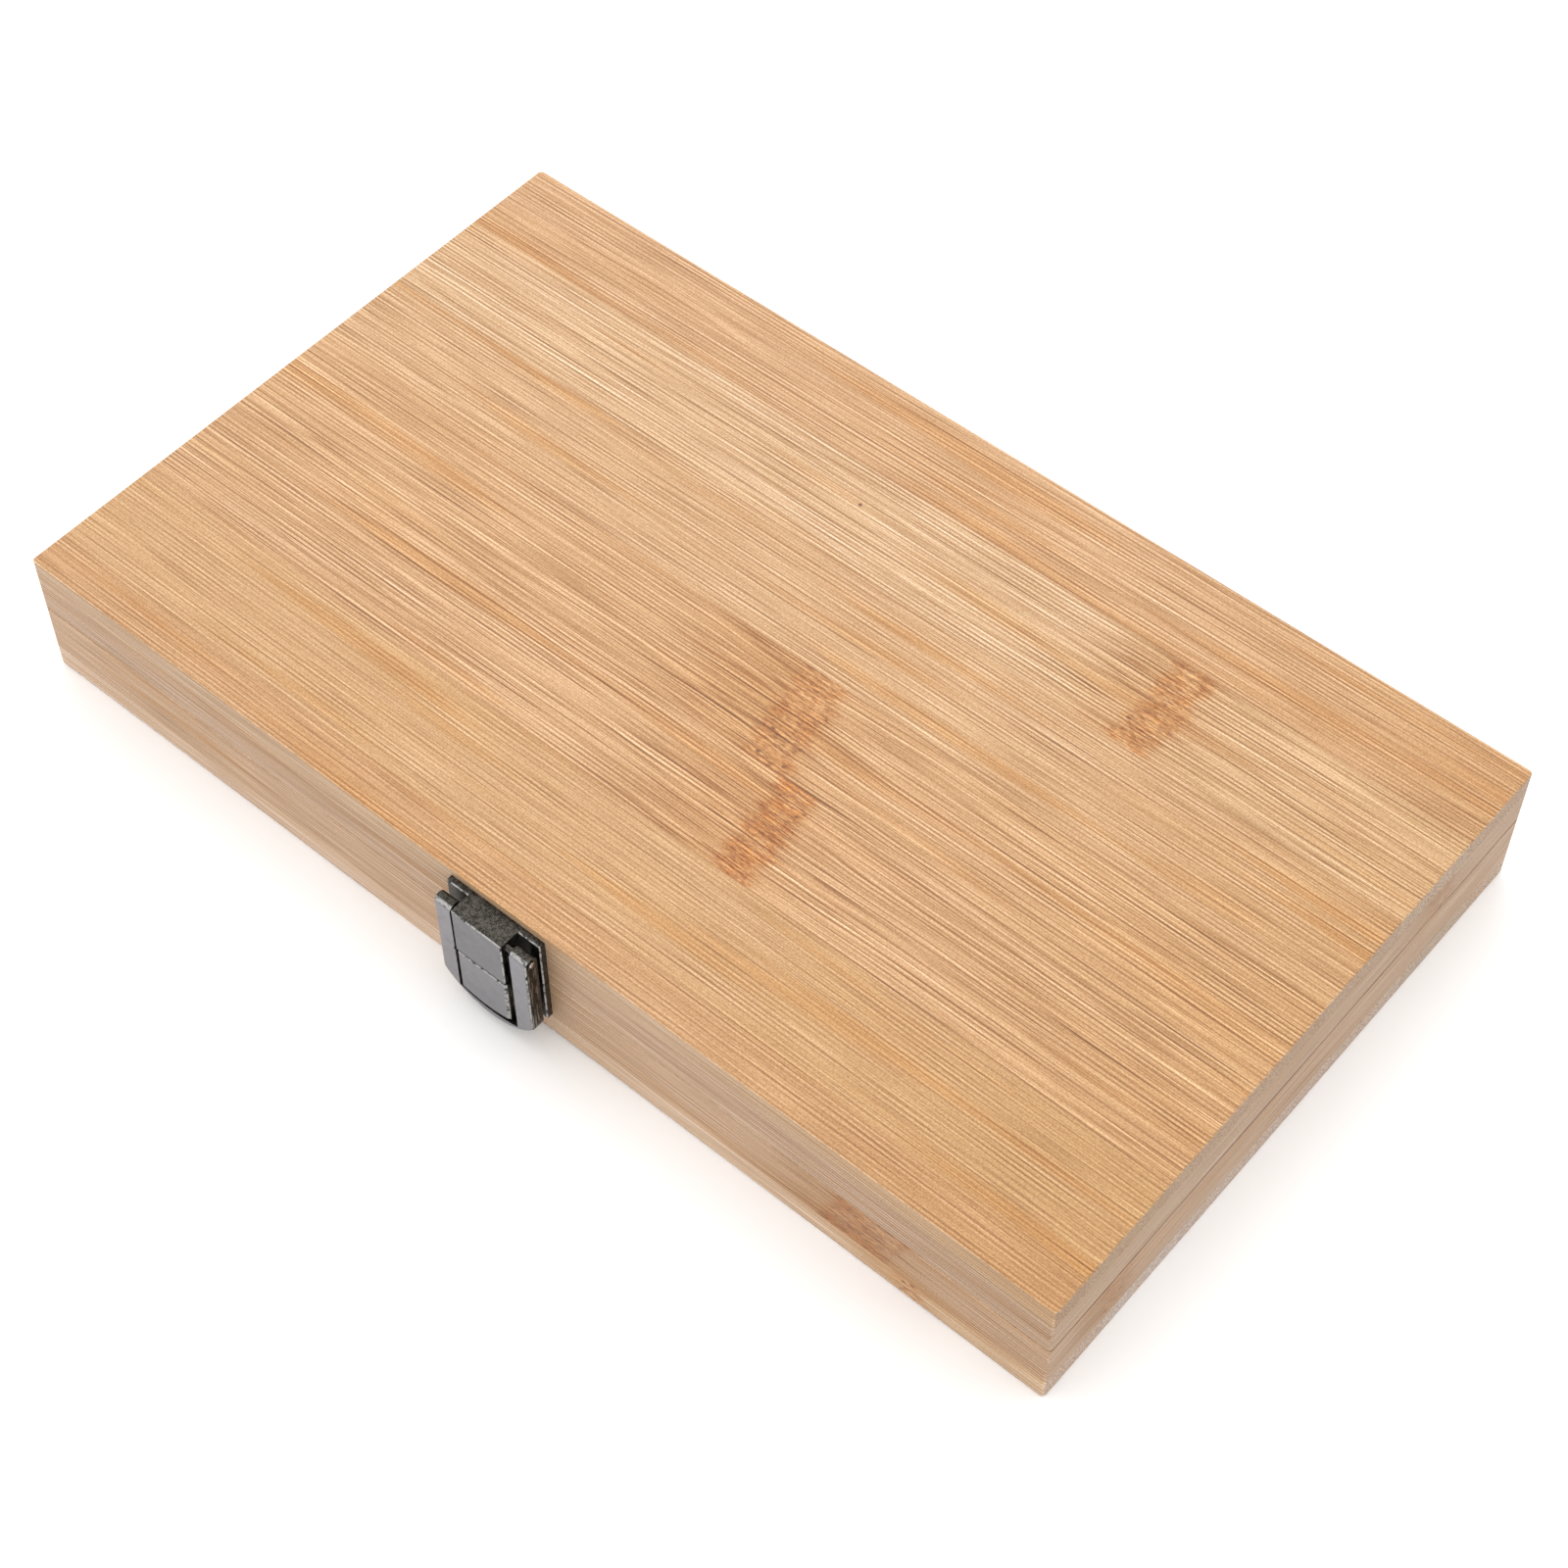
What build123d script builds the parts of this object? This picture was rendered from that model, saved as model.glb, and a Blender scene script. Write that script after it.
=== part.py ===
from build123d import *
import os
from math import sqrt

# Watercolor palette box: a flat bamboo case with a hinged lid and a front clasp.
# Inside are two rows of half pans of paint and a lift-out mixing palette.
# Sizes are in millimetres and drafts in degrees. X runs along the length, Y from
# front to back and Z up. The origin is the centre of the underside.

# Bamboo case
case_length = 220.0
case_depth = 127.5
wall_thickness = 7.0
bottom_panel_thickness = 5.0
base_wall_height = 10.2
lid_wall_height = 7.35
top_panel_thickness = 5.0
parting_gap = 0.15
corner_radius = 0.8
top_edge_chamfer = 0.2
bottom_edge_radius = 0.5
parting_edge_chamfer = 0.15

base_top = bottom_panel_thickness + base_wall_height
lid_bottom = base_top + parting_gap
top_panel_bottom = lid_bottom + lid_wall_height
case_top = top_panel_bottom + top_panel_thickness
front_face = -case_depth / 2
back_face = case_depth / 2
cavity_end = case_length / 2 - wall_thickness
cavity_front = front_face + wall_thickness
cavity_back = back_face - wall_thickness

# Half pans of paint
pan_width = 16.0
pan_depth = 19.5
pan_height = 9.5
pan_wall = 0.8
pan_floor = 1.0
pan_draft = 3.5
pan_inner_corner = 0.8
pan_rim_overhang = 0.4
pan_rim_height = 1.2
least_pan_gap = 0.5
pan_side_clearance = 0.25
paint_height = 6.0
paint_clearance = 0.05

# Rack that holds the pans in two rows
slat_thickness = 2.5
rail_thickness = 3.0
rack_height = 8.0
rack_edge_radius = 0.5

row_length = 2 * (cavity_end - rail_thickness)
pans_per_row = int(row_length // (pan_width + least_pan_gap))
pan_pitch = row_length / pans_per_row
row_depth = pan_depth + 2 * pan_side_clearance
middle_slat_front = cavity_back - row_depth - slat_thickness
front_slat_front = middle_slat_front - row_depth - slat_thickness
rear_row_centre = cavity_back - row_depth / 2
front_row_centre = middle_slat_front - row_depth / 2

# Lift-out mixing palette
palette_clearance = 0.4
palette_seat_gap = 0.3
palette_recess = 0.8
palette_wall = 1.4
palette_inner_corner = 0.8
palette_end_border = 11.0
palette_side_border = 4.0
well_depth = 6.2
well_draft = 12.0
well_rib = 3.0
well_floor_radius = 1.5
small_wells = 4
small_well_depth = 20.0
small_well_corner = 3.5
large_wells = 2
large_well_corner = 6.0
finger_notch_radius = 7.0

palette_end = cavity_end - palette_clearance
palette_front = cavity_front + palette_clearance
palette_back = front_slat_front - palette_clearance
palette_depth = palette_back - palette_front
palette_centre = (palette_front + palette_back) / 2
palette_foot = bottom_panel_thickness + palette_seat_gap
palette_top = base_top - palette_recess

# Wood screws
screw_shank_radius = 0.9
screw_head_radius = 1.8
screw_length = 6.0
screw_tip_length = 1.2
screw_dome = 0.25
screw_hole_clearance = 0.05

# Butt hinges on the back
hinge_spacing = 124.0
hinge_width = 18.0
leaf_height = 8.5
leaf_thickness = 0.8
leaf_corner_radius = 1.0
knuckle_radius = 1.5
knuckle_gap = 0.2
knuckle_relief = 0.3
hinge_pin_radius = 0.6
running_clearance = 0.05
leaf_screw_spacing = 10.0

hinge_axis_y = back_face + knuckle_relief + knuckle_radius
hinge_axis_z = base_top + parting_gap / 2
leaf_start = knuckle_radius + knuckle_relief
leaf_middle = (leaf_start + leaf_height) / 2
leaf_screw_y = back_face + leaf_thickness

# Clasp on the front, fitted by hand a little off the middle
clasp_middle = -0.4
clasp_plate_width = 20.2
clasp_plate_thickness = 1.2
clasp_plate_chamfer = 0.2
lid_plate_height = 10.7
catch_plate_height = 9.7
block_width = 10.8
block_projection = 5.2
lid_block_chamfer = 0.2
catch_chamfer = 0.45
lid_plate_screw_height = 4.0
catch_screw_drop = 5.5
pivot_drop = 0.95
clasp_pin_radius = 0.6
clasp_pin_projection = 0.3
clasp_pin_edge_radius = 0.25
lever_width = 19.9
lever_thickness = 2.6
lever_drop = 22.95
lever_bottom_radius = 12.5
lever_corner_radius = 1.5
lever_edge_radius = 0.5
window_left_clearance = 0.25
window_right_clearance = 1.8
window_bottom_radius = 18.5
window_bar = 1.5
catch_clearance = 0.3

lid_plate_top = lid_bottom + lid_plate_height
catch_plate_bottom = base_top - catch_plate_height
pivot_y = front_face - block_projection + lever_thickness / 2
pivot_z = lid_plate_top - pivot_drop
lever_bottom = pivot_z - lever_drop
window_low = lever_bottom + window_bar
window_width = window_left_clearance + block_width + window_right_clearance
lever_middle = clasp_middle + (window_right_clearance - window_left_clearance) / 2
clasp_screw_side = (block_width + clasp_plate_width) / 4
clasp_screw_y = front_face - clasp_plate_thickness

front_plane = Plane((0, front_face, 0), x_dir=(1, 0, 0), z_dir=(0, -1, 0))
back_plane = Plane((0, back_face, 0), x_dir=(-1, 0, 0), z_dir=(0, 1, 0))


def upright_block(low, high):
    """The outside of the case between two heights, with its upright corners eased."""
    outline = RectangleRounded(case_length, case_depth, corner_radius)
    return extrude(Pos(0, 0, low) * outline, high - low)


def base_outside():
    """The base as one block: rounded along the bottom, eased along the parting line."""
    block = upright_block(0, base_top)
    block = fillet(block.faces().sort_by(Axis.Z)[0].edges(), bottom_edge_radius)
    return chamfer(block.faces().sort_by(Axis.Z)[-1].edges(), parting_edge_chamfer)


def lid_outside():
    """The lid as one block, with its top and parting edges eased."""
    block = upright_block(lid_bottom, case_top)
    block = chamfer(block.faces().sort_by(Axis.Z)[-1].edges(), top_edge_chamfer)
    return chamfer(block.faces().sort_by(Axis.Z)[0].edges(), parting_edge_chamfer)


def panel(outside, low, high):
    """The flat panel of the base or the lid, between two heights."""
    layer = Rectangle(2 * case_length, 2 * case_depth)
    return outside & extrude(Pos(0, 0, low) * layer, high - low)


def wall(outside, side, low, high):
    """One wall of the base or the lid, with mitred ends."""
    x, y, t = case_length / 2, case_depth / 2, wall_thickness
    corners = {
        "front": [(-x, -y), (x, -y), (x - t, t - y), (t - x, t - y)],
        "back": [(x, y), (-x, y), (t - x, y - t), (x - t, y - t)],
        "left": [(-x, y), (-x, -y), (t - x, t - y), (t - x, y - t)],
        "right": [(x, -y), (x, y), (x - t, y - t), (x - t, t - y)],
    }
    outline = make_face(Polyline(*corners[side], close=True))
    return outside & extrude(Pos(0, 0, low) * outline, high - low)


def on_y(shape, x, y, z, outward):
    """A shape made along Z, turned so that its top faces outward along Y."""
    return Plane((x, y, z), x_dir=(1, 0, 0), z_dir=(0, outward, 0)) * shape


def along_x(shape, x, y, z):
    """A shape made along Z, laid along X with its centre at a point."""
    return Pos(x, y, z) * Rot(0, 90, 0) * shape


def screws(places, y, outward):
    """Countersunk wood screws with slightly domed heads, whose rims are at y."""
    cone_height = screw_head_radius - screw_shank_radius
    halfway = screw_head_radius / 2
    dome_middle = screw_dome * 3 / 4
    outline = Polyline(
        (screw_head_radius, 0),
        (screw_shank_radius, -cone_height),
        (screw_shank_radius, screw_tip_length - screw_length),
        (0, -screw_length),
        (0, screw_dome),
    )
    dome = ThreePointArc((0, screw_dome), (halfway, dome_middle), (screw_head_radius, 0))
    screw = revolve(Plane.XZ * make_face(outline + dome), Axis.Z)
    return Compound(children=[on_y(screw, x, y, z, outward) for x, z in places])


def screw_holes(places, y, outward):
    """Cutters for the countersunk holes that the screws fill."""
    head = screw_head_radius + screw_hole_clearance
    shank = screw_shank_radius + screw_hole_clearance
    cone = Pos(0, 0, (shank - head) / 2) * Cone(shank, head, head - shank)
    mouth = Pos(0, 0, head / 2) * Cylinder(head, head)
    bore = Pos(0, 0, -screw_length / 2) * Cylinder(shank, screw_length)
    cutter = cone + mouth + bore
    return [on_y(cutter, x, y, z, outward) for x, z in places]


def leaf_screw_places(hinge_x, upward):
    """Where the two screws of a hinge leaf go. Upward is 1 on the lid, -1 on the base."""
    z = hinge_axis_z + upward * leaf_middle
    return [(hinge_x + s * leaf_screw_spacing / 2, z) for s in (-1, 1)]


def hinge_leaf(hinge_x, upward):
    """A hinge leaf: the lid's has the middle knuckle, the base's the outer two."""
    knuckle_length = (hinge_width - 2 * knuckle_gap) / 3
    pitch = knuckle_length + knuckle_gap
    knuckles = [0] if upward > 0 else [-pitch, pitch]
    bore = hinge_pin_radius + (running_clearance if upward > 0 else 0)
    plate = RectangleRounded(hinge_width, leaf_height - leaf_start, leaf_corner_radius)
    middle = Pos(-hinge_x, hinge_axis_z + upward * leaf_middle)
    leaf = extrude(back_plane * middle * plate, leaf_thickness)
    reach = leaf_start + leaf_corner_radius
    neck = Rectangle(knuckle_length, reach)
    for offset in knuckles:
        x = hinge_x + offset
        neck_middle = Pos(-x, hinge_axis_z + upward * reach / 2)
        leaf += extrude(back_plane * neck_middle * neck, leaf_thickness)
        barrel = Cylinder(knuckle_radius, knuckle_length)
        leaf += along_x(barrel, x, hinge_axis_y, hinge_axis_z)
    leaf -= along_x(Cylinder(bore, hinge_width), hinge_x, hinge_axis_y, hinge_axis_z)
    return leaf - screw_holes(leaf_screw_places(hinge_x, upward), leaf_screw_y, 1)


def hinge_pin(hinge_x):
    """The pin through a hinge's three knuckles."""
    return along_x(Cylinder(hinge_pin_radius, hinge_width), hinge_x, hinge_axis_y, hinge_axis_z)


def clasp_screw_places(z):
    """Where the two screws of a clasp plate go, one each side of its block."""
    return [(clasp_middle + s * clasp_screw_side, z) for s in (-1, 1)]


def clasp_plate(low, high):
    """A flat plate against the front of the case, with its front edges eased."""
    outline = Pos(clasp_middle, (low + high) / 2) * Rectangle(clasp_plate_width, high - low)
    plate = extrude(front_plane * outline, clasp_plate_thickness)
    return chamfer(plate.faces().sort_by(Axis.Y)[0].edges(), clasp_plate_chamfer)


def clasp_lid_plate():
    """The plate on the lid, with the block that carries the lever's pin."""
    face = Rectangle(block_width, lid_plate_height)
    middle = Pos(clasp_middle, (lid_bottom + lid_plate_top) / 2)
    block = extrude(front_plane * middle * face, block_projection)
    block = chamfer(block.faces().sort_by(Axis.Y)[0].edges(), lid_block_chamfer)
    part = clasp_plate(lid_bottom, lid_plate_top) + block
    part -= along_x(Cylinder(clasp_pin_radius, block_width), clasp_middle, pivot_y, pivot_z)
    places = clasp_screw_places(lid_bottom + lid_plate_screw_height)
    return part - screw_holes(places, clasp_screw_y, -1)


def bowed_face(half_width, top, lowest, radius):
    """A face with straight sides and a level top, whose bottom bows down to a height."""
    corner = lowest + radius - sqrt(radius**2 - half_width**2)
    left, right = (-half_width, corner), (half_width, corner)
    sides = Polyline(right, (half_width, top), (-half_width, top), left)
    return make_face(sides + ThreePointArc(left, (0, lowest), right))


def clasp_catch_plate():
    """The plate on the base, with the block that the lever's window closes round."""
    lowest = window_low + catch_clearance
    face = bowed_face(block_width / 2, base_top, lowest, window_bottom_radius - catch_clearance)
    block = extrude(front_plane * Pos(clasp_middle) * face, block_projection)
    block = chamfer(block.faces().sort_by(Axis.Y)[0].edges(), catch_chamfer)
    part = clasp_plate(catch_plate_bottom, base_top) + block
    places = clasp_screw_places(base_top - catch_screw_drop)
    return part - screw_holes(places, clasp_screw_y, -1)


def clasp_lever():
    """The lever: a round-bottomed frame whose two arms turn on the clasp's pin."""
    barrel_radius = lever_thickness / 2
    top = pivot_z + barrel_radius
    corner = (lever_middle, pivot_y + barrel_radius, 0)
    back = Plane(corner, x_dir=(1, 0, 0), z_dir=(0, -1, 0))
    outline = bowed_face(lever_width / 2, top, lever_bottom, lever_bottom_radius)
    outline = fillet(outline.vertices().sort_by(Axis.Y)[:2], lever_corner_radius)
    frame = extrude(back * outline, lever_thickness)
    front_edges = frame.faces().sort_by(Axis.Y)[0].edges().sort_by(Axis.Z)
    frame = fillet(front_edges[:-1], lever_edge_radius)
    window = bowed_face(window_width / 2, 2 * top, window_low, window_bottom_radius)
    frame -= extrude(back * window, lever_thickness)
    flat = Rectangle(lever_width, lever_drop)
    flat = extrude(back * Pos(0, pivot_z - lever_drop / 2) * flat, lever_thickness)
    barrel = Cylinder(barrel_radius, lever_width)
    barrel = along_x(barrel, lever_middle, pivot_y, pivot_z)
    bore = Cylinder(clasp_pin_radius + running_clearance, lever_width)
    return (frame & (flat + barrel)) - along_x(bore, lever_middle, pivot_y, pivot_z)


def clasp_pin():
    """The pin through the lever's arms and the lid plate's block, with rounded ends."""
    pin = Cylinder(clasp_pin_radius, lever_width + 2 * clasp_pin_projection)
    pin = fillet(pin.edges().filter_by(GeomType.CIRCLE), clasp_pin_edge_radius)
    return along_x(pin, lever_middle, pivot_y, pivot_z)


def tapered(length, depth, corner, top, drop, draft):
    """A rounded block that narrows downwards from its top face by a draft angle."""
    down = Plane((0, 0, top), x_dir=(1, 0, 0), z_dir=(0, 0, -1))
    return extrude(down * RectangleRounded(length, depth, corner), drop, taper=draft)


def half_pan():
    """A small open plastic pan with a rim, standing at height 0."""
    corner = pan_inner_corner + pan_wall
    body_width = pan_width - 2 * pan_rim_overhang
    body_depth = pan_depth - 2 * pan_rim_overhang
    body = tapered(body_width, body_depth, corner, pan_height, pan_height, pan_draft)
    rim_outline = RectangleRounded(pan_width, pan_depth, corner + pan_rim_overhang)
    rim = extrude(Pos(0, 0, pan_height - pan_rim_height) * rim_outline, pan_rim_height)
    inside_width = body_width - 2 * pan_wall
    inside_depth = body_depth - 2 * pan_wall
    inside_drop = pan_height - pan_floor
    inside = tapered(inside_width, inside_depth, corner, pan_height, inside_drop, pan_draft)
    return body + rim - inside, inside


def paint_block(pan_inside):
    """A block of dried paint that fills the lower part of a half pan."""
    kept = extrude(Pos(0, 0, pan_floor) * Rectangle(pan_width, pan_depth), paint_height)
    across = pan_width - 2 * (pan_rim_overhang + pan_wall)
    along = pan_depth - 2 * (pan_rim_overhang + pan_wall)
    x_fit = 1 - 2 * paint_clearance / across
    y_fit = 1 - 2 * paint_clearance / along
    return kept & scale(pan_inside, by=(x_fit, y_fit, 1))


def pan_places(row_centre):
    """Where each pan in a row stands, left to right."""
    first = (pan_pitch - row_length) / 2
    floor = bottom_panel_thickness
    return [(first + n * pan_pitch, row_centre, floor) for n in range(pans_per_row)]


def rack_piece(x_low, x_high, y_low, y_high):
    """A slat or rail of the pan rack on the bottom panel, with its top edges eased."""
    middle = Pos((x_low + x_high) / 2, (y_low + y_high) / 2, bottom_panel_thickness)
    piece = extrude(middle * Rectangle(x_high - x_low, y_high - y_low), rack_height)
    top_edges = piece.faces().sort_by(Axis.Z)[-1].edges()
    long_edges = top_edges.sort_by(SortBy.LENGTH)[-2:]
    return fillet(long_edges, rack_edge_radius)


def well_row(count, centre_y, depth, corner):
    """One row of mixing wells: middle, length, depth and corner radius of each."""
    usable = 2 * (palette_end - palette_end_border)
    length = (usable - (count - 1) * well_rib) / count
    first = (length - usable) / 2
    pitch = length + well_rib
    return [(first + n * pitch, centre_y, length, depth, corner) for n in range(count)]


def well_layout():
    """Every mixing well: small ones along the back, large ones along the front."""
    small_y = palette_back - palette_side_border - small_well_depth / 2
    large_front = palette_front + palette_side_border
    large_back = palette_back - palette_side_border - small_well_depth - well_rib
    large_y = (large_front + large_back) / 2
    small_row = well_row(small_wells, small_y, small_well_depth, small_well_corner)
    large_row = well_row(large_wells, large_y, large_back - large_front, large_well_corner)
    return small_row + large_row


def mixing_palette():
    """A moulded palette: a skirted tray with open wells and a hollow underside."""
    height = palette_top - palette_foot
    middle = Pos(0, palette_centre, palette_foot)
    corner = palette_inner_corner + palette_wall
    outline = RectangleRounded(2 * palette_end, palette_depth, corner)
    tray = extrude(middle * outline, height)
    core_length = 2 * (palette_end - palette_wall)
    core_depth = palette_depth - 2 * palette_wall
    core = RectangleRounded(core_length, core_depth, palette_inner_corner)
    hollow = extrude(middle * core, height - palette_wall)
    grown = 2 * palette_wall
    for x, y, length, depth, corner in well_layout():
        well = tapered(length, depth, corner, palette_top, well_depth, well_draft)
        well = fillet(well.faces().sort_by(Axis.Z)[0].edges(), well_floor_radius)
        size = (length + grown, depth + grown, corner + palette_wall)
        shell = tapered(*size, palette_top, well_depth + palette_wall, well_draft)
        tray -= Pos(x, y, 0) * well
        hollow -= Pos(x, y, 0) * shell
    for x in (-palette_end, palette_end):
        notch = Pos(x, palette_centre, palette_foot + height / 2)
        tray -= notch * Cylinder(finger_notch_radius, height)
        hollow -= notch * Cylinder(finger_notch_radius + palette_wall, height)
    return tray - hollow


def shared_out(places, groups):
    """A row's places shared out evenly, in order, among its groups of paints."""
    shares = {group: [] for group in groups}
    for n, place in enumerate(places):
        shares[groups[n * len(groups) // len(places)]].append(place)
    return shares


def case_parts():
    """The bamboo panels and walls of the base and the lid."""
    base, lid = base_outside(), lid_outside()
    parts = {
        "bottom_panel": panel(base, 0, bottom_panel_thickness),
        "top_panel": panel(lid, top_panel_bottom, case_top),
    }
    for side in ("front", "back", "left", "right"):
        parts[f"base_{side}_wall"] = wall(base, side, bottom_panel_thickness, base_top)
        parts[f"lid_{side}_wall"] = wall(lid, side, lid_bottom, top_panel_bottom)
    return parts


def hinge_parts(parts):
    """Both hinges with their screws, and the screws' holes in the back walls."""
    hinges = {"left": -hinge_spacing / 2, "right": hinge_spacing / 2}
    for side, x in hinges.items():
        parts[f"{side}_hinge_base_leaf"] = hinge_leaf(x, -1)
        parts[f"{side}_hinge_lid_leaf"] = hinge_leaf(x, 1)
        parts[f"{side}_hinge_pin"] = hinge_pin(x)
    for owner, upward in (("base", -1), ("lid", 1)):
        places = [place for x in hinges.values() for place in leaf_screw_places(x, upward)]
        parts[f"{owner}_hinge_screws"] = screws(places, leaf_screw_y, 1)
        parts[f"{owner}_back_wall"] -= screw_holes(places, leaf_screw_y, 1)


def clasp_parts(parts):
    """The clasp with its screws, and the screws' holes in the front walls."""
    parts["clasp_lid_plate"] = clasp_lid_plate()
    parts["clasp_catch_plate"] = clasp_catch_plate()
    parts["clasp_lever"] = clasp_lever()
    parts["clasp_pin"] = clasp_pin()
    lid_places = clasp_screw_places(lid_bottom + lid_plate_screw_height)
    catch_places = clasp_screw_places(base_top - catch_screw_drop)
    parts["clasp_lid_screws"] = screws(lid_places, clasp_screw_y, -1)
    parts["clasp_catch_screws"] = screws(catch_places, clasp_screw_y, -1)
    parts["lid_front_wall"] -= screw_holes(lid_places, clasp_screw_y, -1)
    parts["base_front_wall"] -= screw_holes(catch_places, clasp_screw_y, -1)


def inner_parts(parts):
    """The pan rack, the half pans, their paints and the mixing palette."""
    slat_end = cavity_end - rail_thickness
    rail_span = (front_slat_front, cavity_back)
    parts["pan_rack_left_rail"] = rack_piece(-cavity_end, -slat_end, *rail_span)
    parts["pan_rack_right_rail"] = rack_piece(slat_end, cavity_end, *rail_span)
    for name, y in (("middle", middle_slat_front), ("front", front_slat_front)):
        parts[f"pan_rack_{name}_slat"] = rack_piece(-slat_end, slat_end, y, y + slat_thickness)
    pan, inside = half_pan()
    paint = paint_block(inside)
    rows = {
        "rear": (rear_row_centre, ["yellow", "red", "blue"]),
        "front": (front_row_centre, ["green", "earth", "dark"]),
    }
    for row, (centre, groups) in rows.items():
        places = pan_places(centre)
        parts[f"{row}_half_pans"] = Compound(children=[Pos(*place) * pan for place in places])
        for group, share in shared_out(places, groups).items():
            blocks = [Pos(*place) * paint for place in share]
            parts[f"{group}_paints"] = Compound(children=blocks)
    parts["mixing_palette"] = mixing_palette()


parts = case_parts()
hinge_parts(parts)
clasp_parts(parts)
inner_parts(parts)

os.makedirs("parts", exist_ok=True)
for node, shape in parts.items():
    export_step(shape, f"parts/{node}.step")
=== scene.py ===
from collections import namedtuple
from math import cos, pi, radians, sin
import bmesh
import bpy
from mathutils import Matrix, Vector, noise as fixed_noise


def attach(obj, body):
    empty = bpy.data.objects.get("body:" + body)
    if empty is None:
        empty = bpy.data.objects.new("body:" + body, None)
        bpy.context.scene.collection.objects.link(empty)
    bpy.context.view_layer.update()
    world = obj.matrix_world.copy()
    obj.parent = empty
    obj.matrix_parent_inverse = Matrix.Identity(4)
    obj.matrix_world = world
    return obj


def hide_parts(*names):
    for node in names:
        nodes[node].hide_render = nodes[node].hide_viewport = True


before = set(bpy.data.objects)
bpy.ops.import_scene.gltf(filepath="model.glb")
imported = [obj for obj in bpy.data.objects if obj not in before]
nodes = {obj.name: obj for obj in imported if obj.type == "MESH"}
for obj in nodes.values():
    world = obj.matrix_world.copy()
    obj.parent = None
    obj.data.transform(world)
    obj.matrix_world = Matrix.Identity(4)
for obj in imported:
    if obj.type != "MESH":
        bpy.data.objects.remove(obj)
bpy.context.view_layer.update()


# ---- Bottom panel: a 5 mm board of bamboo strips glued edge to edge, grain along the
# length, sanded and left with a thin satin varnish. Its ends show the cut fibre bundles.

ROOM_LIGHT = 1.35          # how bright the white room round the box is
STRIP_WIDTH = 20.42        # millimetres
SATIN = 0.52               # the varnish's roughness
GRAIN_DEPTH = 0.00012      # metres
PLAIN = (1.0, 1.0, 1.0)    # a tint that changes nothing

# The axes along a board's grain, across its strips and through its thickness
LYING_FLAT, WALL_ALONG_X, WALL_ALONG_Y = (0, 1, 2), (0, 2, 1), (1, 2, 0)


def put(tree, socket, value):
    """A socket joined to the one that its value comes from, or given the value itself."""
    if isinstance(value, bpy.types.NodeSocket):
        tree.links.new(value, socket)
    elif socket.type == "RGBA":
        socket.default_value = (*value, 1.0)
    else:
        socket.default_value = value


def wired(tree, kind, inputs, settings):
    """A new node in a tree, with its settings made and its inputs put in."""
    made = tree.nodes.new(kind)
    for setting, value in settings.items():
        setattr(made, setting, value)
    for socket, value in inputs.items():
        put(tree, made.inputs[socket], value)
    return made


class Finish:
    """The material of one finish of this box, and short names for the nodes it is made of."""

    def __init__(self, name, roughness=0.5, metallic=0.0):
        self.material = bpy.data.materials.new(name)
        self.material.use_nodes = True
        self.shader = self.material.node_tree.nodes["Principled BSDF"]
        self.shader.inputs["Roughness"].default_value = roughness
        self.shader.inputs["Metallic"].default_value = metallic
        place = self.add("TexCoord")
        scaled = {0: place.outputs["Object"], "Scale": 1000.0}
        self.millimetres = self.add("VectorMath", scaled, operation="SCALE").outputs[0]
        self.facing = self.add("SeparateXYZ", {0: place.outputs["Normal"]}).outputs

    def add(self, kind, inputs={}, **settings):
        return wired(self.material.node_tree, "ShaderNode" + kind, inputs, settings)

    def give(self, name, value):
        """One of the shader's inputs, given its value."""
        put(self.material.node_tree, self.shader.inputs[name], value)

    def work(self, operation, a, b=0.0, c=0.0):
        """What one maths node works out."""
        return self.add("Math", {0: a, 1: b, 2: c}, operation=operation).outputs[0]

    def times(self, first, *others):
        for other in others:
            first = self.work("MULTIPLY", first, other)
        return first

    def plus(self, first, *others):
        for other in others:
            first = self.work("ADD", first, other)
        return first

    def less(self, first, other):
        return self.work("SUBTRACT", first, other)

    def most(self, first, *others):
        for other in others:
            first = self.work("MAXIMUM", first, other)
        return first

    def line(self, value, slope, start):
        """The value times the slope, counted from the start."""
        return self.work("MULTIPLY_ADD", value, slope, start)

    def size(self, value):
        return self.work("ABSOLUTE", value)

    def ease(self, value, low, high):
        """0 at low and 1 at high, with a soft change between them; low may be the larger."""
        swap = low > high
        reach = {"Value": value, 1: min(low, high), 2: max(low, high),
                 3: float(swap), 4: float(not swap)}
        return self.add("MapRange", reach, interpolation_type="SMOOTHSTEP").outputs[0]

    def point(self, x, y, z):
        return self.add("CombineXYZ", {0: x, 1: y, 2: z}).outputs[0]

    def noise(self, point, scale, detail=2.0, roughness=0.5):
        sizes = {"Scale": scale, "Detail": detail, "Roughness": roughness}
        return self.add("TexNoise", {"Vector": point, **sizes}).outputs[0]

    def blend(self, share, first, second, way="MIX"):
        """From the first colour to the second, as far as the share says."""
        colours = {0: share, 6: first, 7: second}
        return self.add("Mix", colours, data_type="RGBA", blend_type=way).outputs[2]

    def tinted(self, share, colour, tint):
        """The colour, multiplied by a tint as far as the share says."""
        return self.blend(share, colour, tint, "MULTIPLY")

    def relief(self, height, strength, distance):
        bump = self.add("Bump", {"Height": height, "Strength": strength, "Distance": distance})
        self.give("Normal", bump.outputs[0])


def shade(red, green, blue):
    """A colour as seen on a screen, from 0 to 255, turned into the one that a shader takes in
    this stage's bright light."""
    return tuple(((c / 255 + 0.055) / 1.055) ** 2.4 / ROOM_LIGHT for c in (red, green, blue))


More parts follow.
